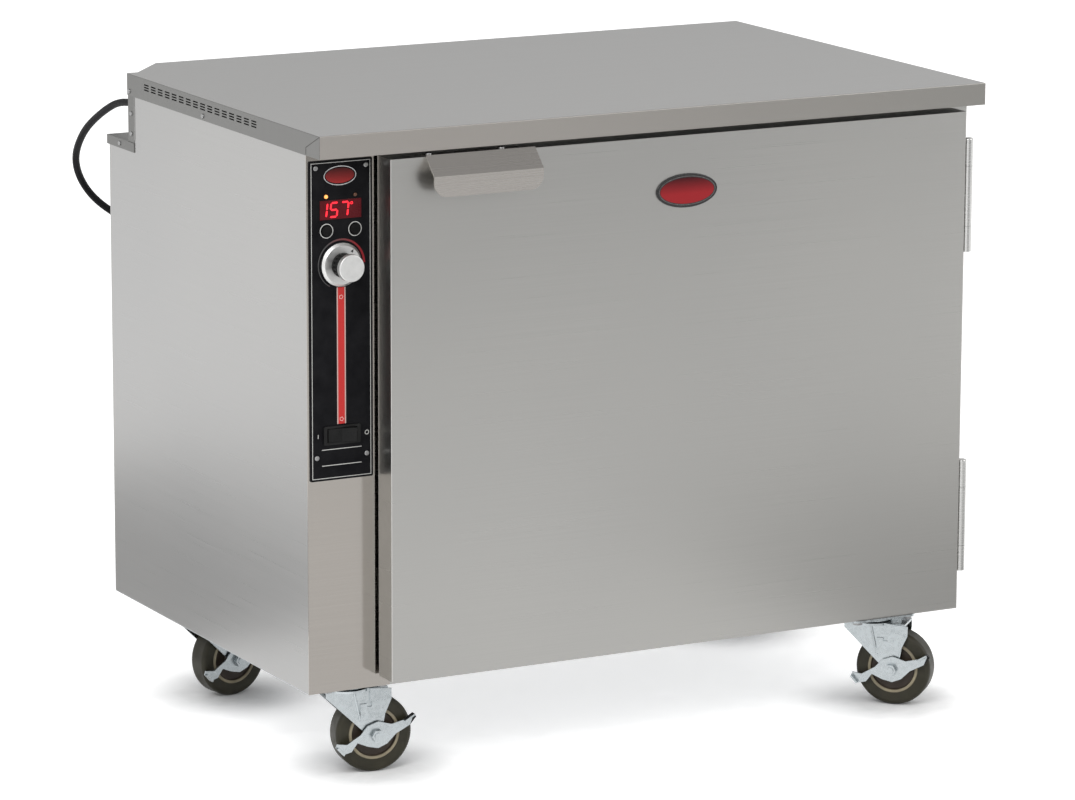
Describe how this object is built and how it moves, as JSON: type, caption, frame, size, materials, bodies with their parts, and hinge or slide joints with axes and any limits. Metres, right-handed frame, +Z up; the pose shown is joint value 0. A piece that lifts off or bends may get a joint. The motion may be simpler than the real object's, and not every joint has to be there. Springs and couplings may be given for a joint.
{
  "type": "heated holding cabinet",
  "caption": "Low stainless heated holding cabinet on braked swivel casters, with one wide hinged door, a side control column, an inner rack and a cord recess behind.",
  "frame": {"origin": "centre of the plan outline of cabinet, pull and ledge, on the floor under the wheels", "axes": "+X to the right seen from the front and along the longest side, +Y to the back, +Z up; the door faces -Y"},
  "size_m": [0.9666, 0.9338, 0.838],
  "materials": {
    "stainless": "fine satin brushed stainless sheet",
    "galvanised": "plain galvanised sheet",
    "liner_steel": "smooth stainless sheet",
    "mineral_wool": "pale fibrous blanket",
    "black_metal": "black paint",
    "aluminium": "bare aluminium",
    "heater_steel": "dull heat darkened sheath",
    "panel_black": "printed satin black plate",
    "display_red": "dark red filter window",
    "lamp_amber": "translucent amber lens",
    "button_black": "black moulded plastic",
    "circuit_green": "green circuit board",
    "knob_silver": "spun silver",
    "black_plastic": "black moulded plastic",
    "rocker_black": "gloss black rocker",
    "screw_steel": "bright steel",
    "gasket_rubber": "dark silicone rubber",
    "badge_red": "plain red with a silver rim",
    "hinge_chrome": "polished plating",
    "zinc": "bright zinc plating",
    "tyre_brown": "dark brown moulded tread",
    "cord_black": "black rubber sheath"
  },
  "bodies": {
    "cabinet": {"worktop": "stainless", "left_side_panel": "stainless", "right_side_panel": "stainless", "rear_panel": "stainless", "recess_panel": "stainless", "recess_ledge": "stainless", "control_column": "stainless", "door_frame": "stainless", "base_pan": "galvanised", "inner_liner": "liner_steel", "cabinet_insulation": "mineral_wool", "rack_left": "liner_steel", "rack_right": "liner_steel", "air_duct": "liner_steel", "fan_motor": "black_metal", "heater_element": "heater_steel", "water_pan": "liner_steel", "control_plate": "panel_black", "display_window": "display_red", "indicator_lamps": "lamp_amber", "switch_housing": "black_plastic", "thermostat": "black_plastic", "control_board": "circuit_green", "cover_screws": "screw_steel", "hinge_frame_leaves": "hinge_chrome", "hinge_pins": "hinge_chrome", "magnet_catches": "black_plastic", "caster_plates": "zinc", "caster_bolts": "screw_steel", "cord_gland": "black_plastic", "power_cord": "cord_black", "power_cord_coil": "cord_black", "power_plug": "cord_black"},
    "door": {"door_outer_skin": "stainless", "door_inner_skin": "liner_steel", "door_insulation": "mineral_wool", "door_gasket": "gasket_rubber", "door_handle": "stainless", "handle_screws": "screw_steel", "door_badge": "badge_red", "hinge_door_leaves": "hinge_chrome"},
    "knob": {"knob_skirt": "knob_silver", "knob_core": "button_black", "knob_cap": "knob_silver"},
    "rocker": {"switch_rocker": "rocker_black"},
    "button_left": {"button_left": "button_black"},
    "button_right": {"button_right": "button_black"},
    "fan": {"fan_wheel": "aluminium"},
    "swivel_front_left": {"caster_fork_front_left": "zinc"},
    "wheel_front_left": {"caster_wheel_front_left": "tyre_brown"},
    "brake_front_left": {"caster_brake_front_left": "zinc"},
    "swivel_front_right": {"caster_fork_front_right": "zinc"},
    "wheel_front_right": {"caster_wheel_front_right": "tyre_brown"},
    "brake_front_right": {"caster_brake_front_right": "zinc"},
    "swivel_back_left": {"caster_fork_back_left": "zinc"},
    "wheel_back_left": {"caster_wheel_back_left": "tyre_brown"},
    "brake_back_left": {"caster_brake_back_left": "zinc"},
    "swivel_back_right": {"caster_fork_back_right": "zinc"},
    "wheel_back_right": {"caster_wheel_back_right": "tyre_brown"},
    "brake_back_right": {"caster_brake_back_right": "zinc"}
  },
  "joints": [
    {"name": "door_hinge", "type": "hinge", "parent": "cabinet", "child": "door", "pos_m": [0.462, -0.3075, 0.469], "axis": [0, 0, 1], "range_deg": [0, 180]},
    {"name": "knob_turn", "type": "hinge", "parent": "cabinet", "child": "knob", "pos_m": [-0.4345, -0.2945, 0.6684], "axis": [0, -1, 0], "range_deg": [-105, 195]},
    {"name": "rocker_tilt", "type": "hinge", "parent": "cabinet", "child": "rocker", "pos_m": [-0.4345, -0.273, 0.4526], "axis": [0, 0, 1], "range_deg": [0, 20]},
    {"name": "button_left_press", "type": "slide", "parent": "cabinet", "child": "button_left", "axis": [0, 1, 0], "range_m": [0, 0.0012], "stiffness_N_per_m": 400},
    {"name": "button_right_press", "type": "slide", "parent": "cabinet", "child": "button_right", "axis": [0, 1, 0], "range_m": [0, 0.0012], "stiffness_N_per_m": 400},
    {"name": "fan_spin", "type": "hinge", "parent": "cabinet", "child": "fan", "pos_m": [-0.3425, -0.0145, 0.469], "axis": [1, 0, 0], "continuous": true},
    {"name": "swivel_front_left_turn", "type": "hinge", "parent": "cabinet", "child": "swivel_front_left", "pos_m": [-0.4071, -0.2257, 0.111], "axis": [0, 0, 1], "continuous": true},
    {"name": "wheel_front_left_roll", "type": "hinge", "parent": "swivel_front_left", "child": "wheel_front_left", "pos_m": [-0.37435, -0.22972, 0.0508], "axis": [0.1219, 0.9925, 0], "continuous": true},
    {"name": "brake_front_left_press", "type": "hinge", "parent": "swivel_front_left", "child": "brake_front_left", "pos_m": [-0.37435, -0.22972, 0.0508], "axis": [0.1219, 0.9925, 0], "range_deg": [0, 15]},
    {"name": "swivel_front_right_turn", "type": "hinge", "parent": "cabinet", "child": "swivel_front_right", "pos_m": [0.3685, -0.2405, 0.111], "axis": [0, 0, 1], "continuous": true},
    {"name": "wheel_front_right_roll", "type": "hinge", "parent": "swivel_front_right", "child": "wheel_front_right", "pos_m": [0.39142, -0.26424, 0.0508], "axis": [0.7193, 0.6947, 0], "continuous": true},
    {"name": "brake_front_right_press", "type": "hinge", "parent": "swivel_front_right", "child": "brake_front_right", "pos_m": [0.39142, -0.26424, 0.0508], "axis": [0.7193, 0.6947, 0], "range_deg": [0, 15]},
    {"name": "swivel_back_left_turn", "type": "hinge", "parent": "cabinet", "child": "swivel_back_left", "pos_m": [-0.414, 0.1819, 0.111], "axis": [0, 0, 1], "continuous": true},
    {"name": "wheel_back_left_roll", "type": "hinge", "parent": "swivel_back_left", "child": "wheel_back_left", "pos_m": [-0.3815, 0.18763, 0.0508], "axis": [-0.1736, 0.9848, 0], "continuous": true},
    {"name": "brake_back_left_press", "type": "hinge", "parent": "swivel_back_left", "child": "brake_back_left", "pos_m": [-0.3815, 0.18763, 0.0508], "axis": [-0.1736, 0.9848, 0], "range_deg": [0, 15]},
    {"name": "swivel_back_right_turn", "type": "hinge", "parent": "cabinet", "child": "swivel_back_right", "pos_m": [0.3685, 0.1815, 0.111], "axis": [0, 0, 1], "continuous": true},
    {"name": "wheel_back_right_roll", "type": "hinge", "parent": "swivel_back_right", "child": "wheel_back_right", "pos_m": [0.40137, 0.18438, 0.0508], "axis": [-0.0872, 0.9962, 0], "continuous": true},
    {"name": "brake_back_right_press", "type": "hinge", "parent": "swivel_back_right", "child": "brake_back_right", "pos_m": [0.40137, 0.18438, 0.0508], "axis": [-0.0872, 0.9962, 0], "range_deg": [0, 15]}
  ]
}
